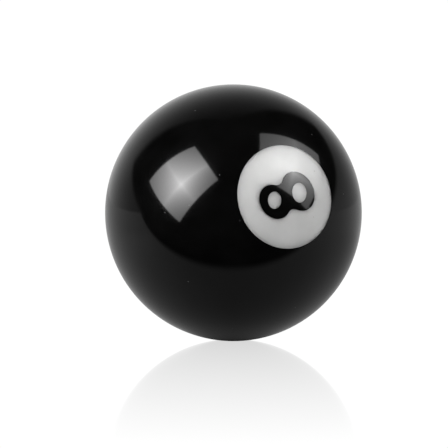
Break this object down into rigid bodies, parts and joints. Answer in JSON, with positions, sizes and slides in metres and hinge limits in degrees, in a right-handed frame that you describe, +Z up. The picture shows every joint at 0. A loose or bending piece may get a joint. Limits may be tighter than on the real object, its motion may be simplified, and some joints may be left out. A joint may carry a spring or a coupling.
{
  "type": "numbered pool ball",
  "caption": "Black pool ball with a black 8 on a white disc let into each side, over a heavy filled core.",
  "frame": {"origin": "centre of the ball", "axes": "+Z up off the table, as the ball lies; the front number faces -Y and 11 degrees above the horizon, and the back number is opposite it"},
  "size_m": [0.0572, 0.0572, 0.0572],
  "materials": {
    "core_filled_resin": "resin filled with mineral powder, cast, matte",
    "shell_black_resin": "cast resin, ground and polished to a mirror gloss",
    "disc_white_resin": "cast resin, ground and polished to a mirror gloss",
    "numeral_black_resin": "cast resin, ground and polished to a mirror gloss"
  },
  "bodies": {
    "root": {"core": "core_filled_resin", "outer_shell": "shell_black_resin", "number_disc_front": "disc_white_resin", "number_disc_back": "disc_white_resin", "numeral_front": "numeral_black_resin", "numeral_back": "numeral_black_resin"}
  },
  "joints": []
}
